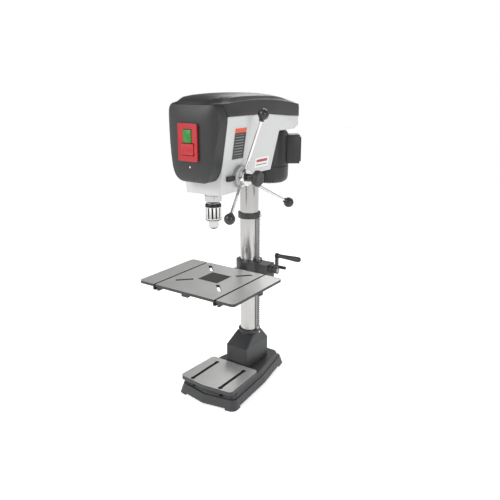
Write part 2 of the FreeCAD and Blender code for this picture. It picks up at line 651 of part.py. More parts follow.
can_room = ring("can_room", 27.5, 12.4, 11, "-boss_face-12", "feed_back", "feed_level", "x")
piece(minus("spring_housing", spring_can, can_room), "spring_housing")


def spiral_spring():
    """A flat strip wound as a spiral of straight-sided turns inside its housing."""
    turns = 4
    steps = 20
    inner = []
    outer = []
    for step in range(turns * steps + 1):
        angle = 2 * math.pi * step / steps
        reach = 14.5 + 11.0 * step / (turns * steps)
        inner.append(Vector(reach * math.cos(angle), reach * math.sin(angle), 0))
        outer.append(Vector((reach + 1) * math.cos(angle), (reach + 1) * math.sin(angle), 0))
    strip = inner + outer[::-1]
    return Part.Face(Part.makePolygon(strip + strip[:1])).extrude(Vector(0, 0, 8))


spring = doc.addObject("Part::Feature", "return_spring")
spring.Shape = spiral_spring()
spring.Placement = Placement(point("-boss_face-11", "feed_back", "feed_level"), UPRIGHT["x"])
piece(spring, "return_spring")

# ---------------------------------------------------------------- drive
SPINDLE_STEPS = (70, 60, 50, 40)
IDLER_STEPS = (44, 54, 64, 74)
MOTOR_STEPS = (33, 31, 28, 22)


def stepped(name, steps, bore, back):
    """A cone of pulleys, one square groove in each step."""
    profile = [(bore, 0)]
    for level, radius in enumerate(steps):
        foot = "%d*pulley_step" % level
        profile += [(radius + 3, foot), (radius + 3, foot + "+4.5"), (radius - 4, foot + "+4.5"),
                    (radius - 4, foot + "+15.5"), (radius + 3, foot + "+15.5"),
                    (radius + 3, foot + "+pulley_step-0.01")]
    profile.append((bore, "4*pulley_step-0.01"))
    return turned(name, profile, 0, back, "pulley_foot")


hub_bore = "spindle_radius+fit"
spindle_cone = stepped("spindle_cone", SPINDLE_STEPS, hub_bore, "-throat")
long_hub = ring("spindle_hub", 18, hub_bore, "pulley_foot-984+1", 0, "-throat", 984)
piece(joined("spindle_pulley", spindle_cone, long_hub), "spindle_pulley")
piece(ring("pulley_bearing", 28, 18.06, 26, 0, "-throat", 985), "pulley_bearing")
POST_SIDE = [(0, 0), (30, 0), (30, 4), (8, 5), (8, 88), (0, 88)]
piece(turned("idler_post", POST_SIDE, 0, "idler_back", "floor_top"), "idler_post")
piece(stepped("idler_pulley", IDLER_STEPS, 8.06, "idler_back"), "idler_pulley")
rotor = turned("motor_rotor", [(0, 0), (8, 0), (8, 24), (45, 24), (45, 124), (8, 124), (8, 290), (0, 290)],
               0, "motor_back", 812)
piece(rotor, "motor_rotor")
piece(stepped("motor_pulley", MOTOR_STEPS, 8, "motor_back"), "motor_pulley")


def belt(label, first_back, first_radius, second_back, second_radius, step):
    """A belt round two steps: two arcs and the straight runs that touch both."""
    span = second_back - first_back
    lean = math.asin((first_radius - second_radius) / span)
    solids = []
    for margin in (3.5, -3.5):
        ends = []
        for side in (1, -1):
            across = side * math.cos(lean)
            along = math.sin(lean)
            for back, radius in ((first_back, first_radius), (second_back, second_radius)):
                reach = radius + margin
                ends.append(Vector(reach * across, back + reach * along, 0))
        near = Vector(0, first_back - first_radius - margin, 0)
        far = Vector(0, second_back + second_radius + margin, 0)
        edges = [Part.LineSegment(ends[0], ends[1]).toShape(), Part.Arc(ends[1], far, ends[3]).toShape(),
                 Part.LineSegment(ends[3], ends[2]).toShape(), Part.Arc(ends[2], near, ends[0]).toShape()]
        solids.append(Part.Face(Part.Wire(edges)).extrude(Vector(0, 0, 9)))
    loop = doc.addObject("Part::Feature", label)
    loop.Shape = solids[0].cut(solids[1])
    loop.Placement = Placement(point(0, 0, "pulley_foot+%d*pulley_step+5.5" % step), Rotation())
    return piece(loop, label)


belt("front_belt", value("-throat"), SPINDLE_STEPS[1], value("idler_back"), IDLER_STEPS[1], 1)
belt("rear_belt", value("idler_back"), IDLER_STEPS[2], value("motor_back"), MOTOR_STEPS[2], 2)

shell_height = "motor_top-motor_seam"
CUP_SIDE = [("motor_radius-4", 0), ("motor_radius", 0), ("motor_radius", "motor_top-30-motor_seam"),
            ("motor_radius-6", "motor_top-12-motor_seam"), ("motor_radius-22", shell_height),
            (9, shell_height), (9, "motor_top-8-motor_seam"),
            ("motor_radius-26", "motor_top-8-motor_seam"), ("motor_radius-10", "motor_top-18-motor_seam"),
            ("motor_radius-4", "motor_top-34-motor_seam")]
motor_cup = turned("motor_cup", CUP_SIDE, 0, "motor_back", "motor_seam")
piece(minus("motor_shell", motor_cup,
            *[cylinder("shell_hole", 3.56, 20, x, y, 985) for x, y in mount_spots]), "motor_shell")
bell_height = "motor_seam-motor_foot"
BELL_SIDE = [(0, 0), ("motor_radius-26", 0), ("motor_radius-9", 7), ("motor_radius-1", 22),
             ("motor_radius+1", bell_height), ("motor_radius-4", bell_height), ("motor_radius-6", 24),
             ("motor_radius-28", 8), (0, 8)]
motor_bell = turned("motor_bell", BELL_SIDE, 0, "motor_back", "motor_foot")
piece(motor_bell, "motor_bell")
BOX_TURN = Rotation(Vector(0, 0, 1), 38)


def motor_side(name, near, far, half, foot, top):
    """A box on the side of the motor, set square to a line out of its axis."""
    box = doc.addObject("Part::Box", name)
    bind(box, Length=far - near, Width=2 * half, Height=top - foot)
    corner = point(0, "motor_back", foot) + BOX_TURN.multVec(Vector(near, -half, 0))
    box.Placement = Placement(corner, BOX_TURN)
    return box


motor_hull = cylinder("motor_hull", "motor_radius+0.05", 300, 0, "motor_back", 760)
piece(minus("capacitor_box", motor_side("box_outer", 55, 116, 36, 862, 975),
            motor_side("box_room", 80, 120, 32, 867, 970), motor_hull), "capacitor_box")
piece(motor_side("capacitor_cover", 116, 122, 33, 870, 966), "capacitor_cover")
mount_plate = block("mount_plate", (-62, 98, "floor_top"), (62, 165, "floor_top+5"))
piece(minus("motor_mount", mount_plate, cylinder("shaft_hole", 16, 20, 0, "motor_back", 1005),
            *[cylinder("plate_hole", 3.56, 20, x, y, 1005) for x, y in mount_spots]), "motor_mount")
mount_bolts = []
for x, y in mount_spots:
    shank = cylinder("mount_shank", 3.5, 24, x, y, 993)
    head = cylinder("mount_head", 6.5, 5, x, y, "floor_top+5")
    mount_bolts.append(joined("mount_bolt", shank, head))
piece(group("motor_bolts", *mount_bolts), "motor_bolts")

# ---------------------------------------------------------------- table
plate = prism("table_plate", "z", [("-table_half", "table_front"), ("table_half", "table_front"),
                                  ("table_half", "table_back"), ("-table_half", "table_back")], 14,
              "table_top-table_thick", "table_top")
rim = []
for side in (-1, 1):
    middle = side * value("tee_offset")
    rim.append(block("tee_boss", (middle - 14, "table_front+6", 458), (middle + 14, "table_back-4", 474)))
under_web = block("under_web", (-9, -330, 446), (9, -78, 474))
cross_web = block("cross_web", ("5-table_half", -236, 458), ("table_half-5", -218, 474))
front_lug = block("front_lug", (-14, "table_front+4", 462), (14, -385, 474))
trunnion = cylinder("trunnion", 31, 15, 0, -79.4, "tilt_level", "y")
neck_block = block("trunnion_neck", (-24, -96, 442), (24, -66, 474))
tee_tools = []
for side in (-1, 1):
    middle = side * value("tee_offset")
    tee_tools.append(block("tee_neck", (middle - value("tee_half"), "table_front-1", 455),
                           (middle + value("tee_half"), "table_back+1", "table_top+1")))
    tee_tools.append(block("tee_channel", (middle - 8, "table_front-1", 462),
                           (middle + 8, "table_back+1", 471)))
recess = block("insert_recess", ("-insert_half-0.1", "-throat-insert_half-0.1", "table_top-6"),
               ("insert_half+0.1", "insert_half+0.1-throat", "table_top+1"))
through_hole = cylinder("table_hole", 32, 60, 0, "-throat", 440)
diagonals = []
for turn in (45, 135, 225, 315):
    slot = doc.addObject("Part::Box", "diagonal_slot")
    bind(slot, Length=64, Width=13, Height=60)
    rotation = Rotation(Vector(0, 0, 1), turn)
    slot.Placement = Placement(rotation.multVec(Vector(78, -6.5, 0)) + point(0, "-throat", 440), rotation)
    diagonals.append(slot)
tilt_bore = cylinder("table_tilt_bore", 8.06, 60, 0, -100, "tilt_level", "y")
bolt_head_room = cylinder("bolt_head_room", 15, 21, 0, -100.4, "tilt_level", "y")
table_blank = joined("table_blank", plate, under_web, cross_web, front_lug, trunnion, neck_block, *rim)
piece(minus("table", table_blank, recess, through_hole, tilt_bore, bolt_head_room, *tee_tools, *diagonals),
      "table")
piece(block("table_insert", ("-insert_half", "-throat-insert_half", "table_top-6"),
            ("insert_half", "insert_half-throat", "table_top")), "table_insert")

# ---------------------------------------------------------------- bracket and its drive
clamp = cylinder("bracket_clamp", "bracket_radius", "bracket_top-bracket_foot-8", 0, 0, "bracket_foot+4")
arm = block("bracket_arm", (-20, -58, 414), (20, -34, 462))
face = cylinder("bracket_face", 29, 12, 0, -64, "tilt_level", "y")
gearbox = block("gearbox", (30, -27, "bracket_foot+2"), (100, 27, 492))
crank_boss = cylinder("crank_boss", 17, 14, 98, 0, "crank_level", "x")
rear_boss = cylinder("rear_boss", 15, 22, 0, 44, 456, "y")
gear_room = block("gear_room", (54, -15, "bracket_foot+7"), (94, 15, 487))
rack_way = block("rack_way", (30, "-rack_half-0.5", 400), (54.5, "rack_half+0.5", 510))
bracket_blank = joined("bracket_blank", clamp, arm, face, gearbox, crank_boss, rear_boss)
piece(minus("table_bracket", bracket_blank, cylinder("bracket_bore", "column_radius+fit", 120, 0, 0, 400),
            gear_room, rack_way, cylinder("tilt_bore", 8, 28, 0, -70, "tilt_level", "y"),
            cylinder("worm_bore", 8.06, 60, 80, 0, "crank_level", "x"),
            cylinder("gear_pin_bore", 5, 60, "gear_out", -30, "gear_level", "y"),
            cylinder("clamp_bore", 6.06, 60, 0, 30, 456, "y")), "table_bracket")
bolt_shank = cylinder("tilt_shank", 8, 45, 0, -87, "tilt_level", "y")
bolt_head = cylinder("tilt_head", 14, 8, 0, -87.8, "tilt_level", "y")
piece(joined("tilt_bolt", bolt_shank, bolt_head), "tilt_bolt")
piece(cylinder("gear_pin", 5, 54, "gear_out", -27, "gear_level", "y"), "gear_pin")
piece(toothed("elevation_gear", 18, 12, 3, 15, 5.06, point("gear_out", -7.5, "gear_level"), "y"),
      "elevation_gear")
worm = joined("worm_blank", cylinder("crank_rod", 8, 50, 83, 0, "crank_level", "x"),
              cylinder("worm", 8.6, 36, 56, 0, "crank_level", "x"))
piece(worm, "crank_shaft")
arm_hub = cylinder("crank_hub", 13, 20, 113, 0, "crank_level", "x")
arm_bar = block("crank_bar", (124, -6, "crank_level"), (133, 6, "crank_level+crank_arm"))
arm_end = cylinder("crank_end", 10, 9, 124, 0, "crank_level+crank_arm", "x")
grip_pin = cylinder("grip_pin", 4, 104, 124, 0, "crank_level+crank_arm", "x")
piece(minus("crank_arm", joined("crank_blank", arm_hub, arm_bar, arm_end, grip_pin),
            cylinder("crank_bore", 8, 30, 110, 0, "crank_level", "x")), "crank_arm")
piece(turned("crank_grip", [(4.06, 0), (7.2, 0), (8.5, 40), (10.5, 88), (9, 97), (4.06, 97)],
             133.4, 0, "crank_level+crank_arm", "x"), "crank_grip")
lever_hub = cylinder("lever_hub", 13, 16, 0, 73, 456, "y")
lever_bolt = cylinder("lever_bolt", 6, 36, 0, 38, 456, "y")
lever_rod = cylinder("lever_rod", 6.5, 112, 8, 81, 456, "x")
piece(joined("clamp_lever", lever_hub, lever_bolt, lever_rod), "clamp_lever")

# ---------------------------------------------------------------- writing
doc.recompute()
for thing in doc.Objects:
    if "Invalid" in thing.State or "Error" in thing.State:
        raise RuntimeError("failed: %s %s" % (thing.Label, thing.State))
for thing in pieces:
    if thing.Shape.isNull() or not thing.Shape.isValid() or not thing.Shape.Solids:
        raise RuntimeError("bad shape: %s" % thing.Label)
os.makedirs("parts", exist_ok=True)
for thing in pieces:
    thing.Shape.exportStep("parts/%s.step" % thing.Label)
print("%d pieces" % len(pieces))
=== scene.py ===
import math

import bmesh
import bpy
from mathutils import Matrix, Vector


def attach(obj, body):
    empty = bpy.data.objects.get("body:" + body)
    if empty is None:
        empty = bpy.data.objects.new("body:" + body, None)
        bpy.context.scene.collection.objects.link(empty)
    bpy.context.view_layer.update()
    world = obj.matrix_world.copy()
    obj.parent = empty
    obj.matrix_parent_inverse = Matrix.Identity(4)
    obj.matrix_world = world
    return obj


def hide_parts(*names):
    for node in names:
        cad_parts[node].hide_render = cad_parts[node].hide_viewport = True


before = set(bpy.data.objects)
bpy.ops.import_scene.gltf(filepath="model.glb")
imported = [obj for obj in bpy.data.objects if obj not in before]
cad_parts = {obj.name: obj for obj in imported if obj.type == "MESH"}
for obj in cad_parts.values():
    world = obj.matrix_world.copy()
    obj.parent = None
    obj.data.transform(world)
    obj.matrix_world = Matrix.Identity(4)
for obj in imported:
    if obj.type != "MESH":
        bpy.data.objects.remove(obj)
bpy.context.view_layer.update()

# ---------------------------------------------------------------- studio
# A pale floor, white surroundings and three large soft lamps. The lens stands a little above
# the head of the machine, off its front right corner.


class Value:
    """A number that varies over a surface, with arithmetic."""

    def __init__(self, finish, socket):
        self.finish = finish
        self.socket = socket

    def maths(self, operation, first, second):
        return self.finish.node("Math", {"operation": operation}, {0: first, 1: second})

    def __add__(self, other):
        return self.maths("ADD", self, other)

    def __sub__(self, other):
        return self.maths("SUBTRACT", self, other)

    def __rsub__(self, other):
        return self.maths("SUBTRACT", other, self)

    def __mul__(self, other):
        return self.maths("MULTIPLY", self, other)

    def __gt__(self, other):
        return self.maths("GREATER_THAN", self, other)

    def __lt__(self, other):
        return self.maths("LESS_THAN", self, other)

    __radd__ = __add__
    __rmul__ = __mul__


class Nodes:
    """The shader nodes of one tree, each added, set and linked in one call."""

    def __init__(self, tree):
        self.tree = tree

    def feed(self, socket, given):
        if isinstance(given, Value):
            self.tree.links.new(given.socket, socket)
        else:
            socket.default_value = given

    def node(self, kind, settings=None, given=None, output=0):
        made = self.tree.nodes.new("ShaderNode" + kind)
        for field, setting in (settings or {}).items():
            setattr(made, field, setting)
        for socket, entry in (given or {}).items():
            self.feed(made.inputs[socket], entry)
        return Value(self, made.outputs[output])

    def blend(self, share, first, second):
        return self.node("Mix", {"data_type": "RGBA"}, {0: share, 6: first, 7: second}, 2)


class Finish(Nodes):
    """A procedural surface on a Principled shader."""

    def __init__(self, name):
        self.material = bpy.data.materials.new(name)
        self.material.use_nodes = True
        super().__init__(self.material.node_tree)
        self.shader = self.tree.nodes["Principled BSDF"]
        self.place = self.node("TexCoord", output="Object")

    def noise(self, scale, detail=2.0, stretch=(1, 1, 1)):
        """Soft random tone, drawn out along an axis by a stretch under one."""
        drawn = self.node("Mapping", {}, {"Vector": self.place, "Scale": stretch})
        return self.node("TexNoise", {}, {"Vector": drawn, "Scale": scale, "Detail": detail})

    def axis(self, name, source=None):
        return self.node("SeparateXYZ", {}, {0: source or self.place}, name)

    def surface(self, sockets, bump=None, depth=0.0002, edge=0.0):
        """Set the shader, with a bump map and edges rounded off to a radius."""
        relief = {}
        if edge:
            relief["Normal"] = self.node("Bevel", {"samples": 6}, {"Radius": edge})
        if bump:
            relief["Normal"] = self.node("Bump", {}, {"Height": bump, "Distance": depth, **relief})
        for name, given in {**sockets, **relief}.items():
            self.feed(self.shader.inputs[name], given)
        return self.material


scene = bpy.context.scene
scene.view_settings.view_transform = "Standard"
scene.world = bpy.data.worlds.new("studio")
scene.world.use_nodes = True
sky = Nodes(scene.world.node_tree)
facing = sky.node("TexGradient", {"gradient_type": "RADIAL"}, {0: sky.node("TexCoord", output="Generated")}, "Fac")
panels = sky.node("ValToRGB", {}, {0: facing})
stops = panels.socket.node.color_ramp.elements
PANEL_GAP = (0.22, 0.22, 0.22, 1)
stops[0].color = PANEL_GAP
stops[1].color = PANEL_GAP
for position, tone in ((0.02, 0.9), (0.26, 0.9), (0.31, 0.4), (0.38, 0.35), (0.40, 0.8), (0.45, 0.75), (0.48, 0.05),
                       (0.56, 0.05), (0.60, 0.95), (0.70, 0.95), (0.74, 0.22)):
    stops.new(position).color = (tone, tone, tone, 1)
backdrop = sky.blend(sky.node("LightPath", output="Is Camera Ray"), panels, (1, 1, 1, 1))
sky.feed(sky.tree.nodes["Background"].inputs["Color"], backdrop)

camera = bpy.data.objects.new("camera", bpy.data.cameras.new("camera"))
scene.collection.objects.link(camera)
camera.location = (1.2015, -1.7659, 1.1784)
camera.rotation_euler = [math.radians(turn) for turn in (73.17, 0, 34.16)]
camera.data.lens = 40.4
camera.data.sensor_width = 36
scene.camera = camera

for name, place, size, power, shade in (("key", (-0.9, -2.3, 2.3), 1.3, 30, (1, 0.99, 0.97)),
                                        ("side", (2.6, -1.0, 1.7), 1.1, 22, (0.97, 0.98, 1)),
                                        ("back", (-0.8, 2.2, 2.4), 1.4, 24, (1, 1, 1))):
    lamp = bpy.data.lights.new(name, "AREA")
    lamp.size = size
    lamp.energy = power
    lamp.color = shade
    holder = bpy.data.objects.new(name, lamp)
    scene.collection.objects.link(holder)
    holder.location = place
    holder.rotation_euler = (Vector((0, -0.1, 0.6)) - Vector(place)).to_track_quat("-Z", "Y").to_euler()

floor_finish = Finish("studio_floor")
floor_tone = floor_finish.noise(1.5)
floor_grey = floor_finish.blend(floor_tone, (0.93, 0.93, 0.93, 1), (0.95, 0.95, 0.95, 1))
floor_paper = floor_finish.surface({"Base Color": floor_grey, "Roughness": 0.9,
                                    "Emission Color": (1, 1, 1, 1), "Emission Strength": 0.5})
bpy.ops.object.select_all(action="DESELECT")
bpy.ops.mesh.primitive_plane_add(size=24, location=(0, 0, -0.0005))
bpy.context.object.name = "floor"
bpy.context.object.data.materials.append(floor_paper)

# ---------------------------------------------------------------- base
# A grey iron casting, painted charcoal with a fine sanded texture. The pad in front of the
# tower and the seats of the bolts are milled bright, and two slots run through the pad.


def metal_mask(finish, level, reach=0.0006):
    """One on the faces that look up at or above a level."""
    up = finish.axis("Z", finish.node("TexCoord", output="Normal"))
    return (up > 0.9) * (finish.axis("Z") > level - reach)


def painted(name, deep, light, rough=0.45, edge=0.0016, grain=620, depth=0.00022):
    """Textured machine paint over iron."""
    finish = Finish(name)
    sand = finish.noise(grain, 3)
    cloud = finish.noise(14, 2)
    return finish.surface({"Base Color": finish.blend(cloud * 0.7 + sand * 0.3, deep, light),
                           "Roughness": sand * 0.22 + (rough - 0.11)}, sand, depth, edge)


def ground_top(name, level, paint_deep, paint_light, streaks=(1, 0.02, 1)):
    """Charcoal paint below, and a surface-ground face above a level."""
    finish = Finish(name)
    sand = finish.noise(620, 3)
    scratches = finish.noise(900, 2, streaks)
    patches = finish.noise(11, 3)
    mask = metal_mask(finish, level)
    steel = finish.blend(patches * 0.6 + scratches * 0.4, (0.50, 0.50, 0.495, 1), (0.74, 0.74, 0.73, 1))
    paint = finish.blend(sand, paint_deep, paint_light)
    return finish.surface({"Base Color": finish.blend(mask, paint, steel),
                           "Metallic": mask * 0.6,
                           "Roughness": mask * (scratches * 0.18 + 0.26) + (1 - mask) * (sand * 0.2 + 0.36)},
                          mask * scratches * 0.16 + (1 - mask) * sand, 0.0002, 0.0016)


def bare_metal(name, tone, deep, light, spread, smooth, metallic=1.0, depth=0.0, edge=0.0):
    """Unpainted metal, its colour and its shine both led by one fine noise."""
    finish = Finish(name)
    lines = finish.noise(*tone)
    return finish.surface({"Base Color": finish.blend(lines, deep, light), "Metallic": metallic,
                           "Roughness": lines * spread + smooth}, lines if depth else None, depth, edge)


def dress(material, *names):
    """Give CAD nodes a finish in all of their slots."""
    for name in names:
        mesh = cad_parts[name].data
        if not mesh.materials:
            mesh.materials.append(material)
        for index in range(len(mesh.materials)):
            mesh.materials[index] = material


CHARCOAL_DEEP = (0.026, 0.027, 0.029, 1)
CHARCOAL_LIGHT = (0.050, 0.051, 0.054, 1)
base_paint = ground_top("base_paint", 0.078, CHARCOAL_DEEP, CHARCOAL_LIGHT)
iron_paint = painted("iron_paint", CHARCOAL_DEEP, CHARCOAL_LIGHT, 0.44, 0.003)
dress(base_paint, "base")
dress(iron_paint, "column_socket")
blackened = bare_metal("blackened_screw", (400, 3), (0.05, 0.05, 0.05, 1), (0.12, 0.12, 0.12, 1), 0.25, 0.25, 0.9,
                       edge=0.0006)
dress(blackened, "base_bolts")

# ---------------------------------------------------------------- column
# Drawn steel tube, turned and polished, so that it is all long soft reflections. The rack
# beside it is bare milled steel, held between the tower and a black ring.
turned_finish = Finish("polished_column")
fine = turned_finish.noise(700, 2, (1, 1, 0.02))
rings = turned_finish.noise(1400, 1, (0.01, 0.01, 1))
column_tone = turned_finish.blend(fine, (0.40, 0.395, 0.385, 1), (0.54, 0.535, 0.525, 1))
column_steel = turned_finish.surface({"Base Color": column_tone, "Metallic": 1.0,
                                      "Roughness": fine * 0.08 + rings * 0.04 + 0.12}, rings, 0.00001)
dress(column_steel, "column")
rack_steel = bare_metal("milled_rack", (800, 2, (1, 0.05, 1)), (0.25, 0.25, 0.24, 1), (0.45, 0.45, 0.44, 1), 0.25, 0.25,
                        0.95, 0.00003, 0.0005)
dress(rack_steel, "rack", "elevation_gear", "gear_pin", "crank_shaft", "feed_shaft")
dress(iron_paint, "rack_collar")
bright = bare_metal("bright_screw", (500, 2), (0.6, 0.6, 0.59, 1), (0.75, 0.75, 0.74, 1), 0.2, 0.15, edge=0.0005)
dress(bright, "set_screws", "motor_bolts", "tilt_bolt")

# ---------------------------------------------------------------- head casting
# The head is one iron casting under smooth pearl grey enamel, with soft corners and a very
# fine orange-peel. The tray behind it carries the motor plate.
pearl_finish = Finish("pearl_enamel")
peel = pearl_finish.noise(420, 2)
speck = pearl_finish.noise(1500, 2)
drift = pearl_finish.noise(9, 2)
pearl_tone = pearl_finish.blend(speck * 0.6 + drift * 0.4, (0.52, 0.525, 0.52, 1), (0.70, 0.705, 0.70, 1))
pearl = pearl_finish.surface({"Base Color": pearl_tone, "Roughness": peel * 0.15 + 0.27,
                              "Coat Weight": 0.25, "Coat Roughness": 0.15},
                             peel, 0.00008, 0.008)
dress(pearl, "head_casting")
dress(iron_paint, "motor_mount")

# ---------------------------------------------------------------- front panel
# A bowed moulding of charcoal plastic closes the front of the head. Its wall is 3 mm, its
# lower corners are round, and it holds the switch, a small lamp and one screw.
MM = 0.001


def object_mode():
    if bpy.context.mode != "OBJECT":
        bpy.ops.object.mode_set(mode="OBJECT")


def take(made=None):
    """Select one piece in object mode, or nothing."""
    object_mode()
    bpy.ops.object.select_all(action="DESELECT")
    if made:
        bpy.context.view_layer.objects.active = made
        made.select_set(True)


def begin(kind, name, **size):
    """Add a primitive with nothing else selected."""
    take()
    getattr(bpy.ops.mesh, "primitive_" + kind + "_add")(**size)
    bpy.context.object.name = name
    return bpy.context.object


def block(name, low, high):
    """A cube brought to its lowest and highest corners, in millimetres."""
    low = Vector(low) * MM
    high = Vector(high) * MM
    made = begin("cube", name, size=1, location=(low + high) / 2, scale=high - low)
    bpy.ops.object.transform_apply(location=True, rotation=True, scale=True)
    return made


def choose(made, kind, test):
    """Select vertices, edges or faces by their middle in millimetres and their direction."""
    take(made)
    bpy.ops.object.mode_set(mode="EDIT")
    bpy.ops.mesh.select_mode(type=kind)
    bpy.ops.mesh.select_all(action="DESELECT")
    shape = bmesh.from_edit_mesh(made.data)
    for part in {"VERT": shape.verts, "EDGE": shape.edges, "FACE": shape.faces}[kind]:
        if kind == "VERT":
            middle, way = part.co, part.normal
        elif kind == "EDGE":
            ends = [end.co for end in part.verts]
            middle, way = (ends[0] + ends[1]) / 2, (ends[1] - ends[0]).normalized()
        else:
            middle, way = part.calc_center_median(), part.normal
        if test(middle / MM, way):
            part.select_set(True)
    shape.select_flush_mode()
    bmesh.update_edit_mesh(made.data)


def slice_at(made, axis, levels):
    """Bisect the whole piece square to an axis at each level."""
    for level in levels:
        choose(made, "FACE", lambda middle, way: True)
        spot = [0, 0, 0]
        spot[axis] = level * MM
        normal = [0, 0, 0]
        normal[axis] = 1
        bpy.ops.mesh.bisect(plane_co=spot, plane_no=normal)


def reshape(made, rule):
    """Move every corner of a piece by a rule in millimetres."""
    object_mode()
    for corner in made.data.vertices:
        corner.co = Vector(rule(*(corner.co / MM))) * MM
    made.data.update()


def modify(made, kind, **settings):
    """Add a modifier and make it part of the mesh."""
    object_mode()
    bpy.context.view_layer.objects.active = made
    added = made.modifiers.new(kind.lower(), kind)
    for field, setting in settings.items():
        setattr(added, field, setting)
    bpy.ops.object.modifier_apply(modifier=added.name)


def tidy(made):
    """Merge doubled corners and turn all faces outwards."""
    choose(made, "FACE", lambda middle, way: True)
    bpy.ops.mesh.remove_doubles(threshold=0.00001)
    bpy.ops.mesh.normals_make_consistent(inside=False)
    bpy.ops.object.mode_set(mode="OBJECT")


def carve(made, *tools):
    for tool in tools:
        tidy(tool)
        modify(made, "BOOLEAN", operation="DIFFERENCE", solver="EXACT", object=tool)
        bpy.data.objects.remove(tool)


def fuse(made, *others):
    for other in others:
        tidy(other)
        modify(made, "BOOLEAN", operation="UNION", solver="EXACT", object=other)
        bpy.data.objects.remove(other)


def soften(made, width, angle=30, segments=3):
    modify(made, "BEVEL", width=width * MM, segments=segments, limit_method="ANGLE",
           angle_limit=math.radians(angle))


def finish_piece(made, body, slot, material, *nodes, angle=35):
    """Close a piece, paint it, and hang it on its body in place of CAD nodes."""
    tidy(made)
    bpy.ops.object.shade_smooth_by_angle(angle=math.radians(angle))
    made.data.materials.clear()
    made.data.materials.append(material)
    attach(made, body)
    if nodes:
        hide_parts(*nodes)


def share_of(along, whole):
    """How far along a stretch, from none to all of it."""
    return min(1, max(0, along / whole))


def batten(stations, at):
    """The height of a smooth curve through stations of place and height."""
    spots = [stations[0], *stations, stations[-1]]
    for before, start, end, after in zip(spots, spots[1:], spots[2:], spots[3:]):
        if at <= end[0] or end == stations[-1]:
            span = end[0] - start[0]
            share = share_of(at - start[0], span)
            lift = (end[1] - before[1]) / (end[0] - before[0]) * span
            drop = (after[1] - start[1]) / (after[0] - start[0]) * span
            return ((2 * share ** 3 - 3 * share ** 2 + 1) * start[1]
                    + (share ** 3 - 2 * share ** 2 + share) * lift
                    + (3 * share ** 2 - 2 * share ** 3) * end[1] + (share ** 3 - share ** 2) * drop)


def yz_prism(name, corners, half):
    """A bar of a side profile, right across the machine."""
    made = begin("circle", name, vertices=len(corners), radius=0.1, fill_type="NGON")
    for spot, (back, level) in zip(made.data.vertices, corners):
        spot.co = Vector((-half, back, level)) * MM
    choose(made, "FACE", lambda middle, way: True)
    bpy.ops.mesh.extrude_region_move(TRANSFORM_OT_translate={"value": (2 * half * MM, 0, 0)})
    return made


cover_finish = Finish("moulded_cover")
grain = cover_finish.noise(900, 3)
cloudy = cover_finish.noise(7, 2)
cover_tone = cover_finish.blend(grain * 0.4 + cloudy * 0.6, (0.017, 0.0175, 0.0185, 1), (0.027, 0.0275, 0.029, 1))
cover_plastic = cover_finish.surface({"Base Color": cover_tone, "Roughness": grain * 0.16 + 0.36}, grain, 0.00010)

COVER_HALF = 112
PANEL_CROWN = -351
PANEL_REAR = -280
panel = block("front_cover", (-COVER_HALF, PANEL_CROWN, 851), (COVER_HALF, PANEL_REAR, 1104))
slice_at(panel, 0, [-108, -102, -94, -84, -72, -56, -36, -12, 12, 36, 56, 72, 84, 94, 102, 108])
slice_at(panel, 1, [-320, -306])
slice_at(panel, 2, [852, 854, 857, 861, 867, 875, 885, 898, 915, 940, 980, 1020, 1050, 1066, 1078, 1087, 1094,
                    1099])
PANEL_BOW = [(0, 0), (36, 2), (64, 6.5), (84, 13), (98, 20.5), (106, 28), (112, 36)]
PANEL_LEAN = [(851, 22), (857, 17), (867, 12), (880, 8), (915, 2.5), (980, 0),
              (1040, 1.5), (1070, 5), (1087, 9), (1104, 14)]
PANEL_EDGE = [(851, 44), (852, 49), (854, 54), (857, 59), (861, 63.5), (867, 68.5),
              (875, 73.5), (885, 78), (905, 84.6), (1040, 107.5), (1062, 110), (1080, 106), (1092, 99),
              (1104, 89)]
WIDEST_LEVEL = 1062


def bow_panel(across, back, level):
    """Bow a block's front both ways, draw in its foot and round its upper corners."""
    depth = PANEL_REAR - PANEL_CROWN
    reach = batten(PANEL_EDGE, level)
    if level > WIDEST_LEVEL:
        reach += (1 - ((PANEL_REAR - back) / depth) ** 2) * (110 - reach)
    wide = across / COVER_HALF * reach
    front = PANEL_CROWN + math.hypot(batten(PANEL_BOW, abs(wide)), batten(PANEL_LEAN, level))
    return wide, front + (back - PANEL_CROWN) / depth * (PANEL_REAR - front), level


reshape(panel, bow_panel)
choose(panel, "FACE", lambda middle, way: middle.y > PANEL_REAR - 0.5)
bpy.ops.mesh.delete(type="FACE")
tidy(panel)
modify(panel, "SOLIDIFY", thickness=3 * MM, offset=-1, use_even_offset=True)
SEAM = [(-306.6, 1110), (-306.6, 1104.5), (-285.6, 1065), (-284.2, 1063), (-284.2, 840), (-270, 840), (-270, 1110)]
carve(panel, yz_prism("panel_seam", SEAM, 130),
      block("switch_gap", (-30, -362, 940), (30, -335, 1030)))
soften(panel, 0.7, 40, 2)
finish_piece(panel, "stand", "cover_dark", cover_plastic, "front_panel")

lens_finish = Finish("lamp_lens")
lens_glow = lens_finish.noise(900, 1)
lens_tone = lens_finish.blend(lens_glow, (0.85, 0.86, 0.84, 1), (0.95, 0.95, 0.93, 1))
lens = lens_finish.surface({"Base Color": lens_tone, "Roughness": 0.12, "Coat Weight": 0.5})
LAMP_SPOT = (0, -0.3478, 0.904)
lamp_lens = begin("uv_sphere", "status_lamp", segments=24, ring_count=12, radius=2.4 * MM, location=LAMP_SPOT)
bpy.ops.object.transform_apply(location=True, rotation=True, scale=True)
choose(lamp_lens, "VERT", lambda middle, way: middle.y > -347.6)
bpy.ops.transform.resize(value=(1.25, 1, 1.25), center_override=LAMP_SPOT)
finish_piece(lamp_lens, "stand", "cover_dark", lens)


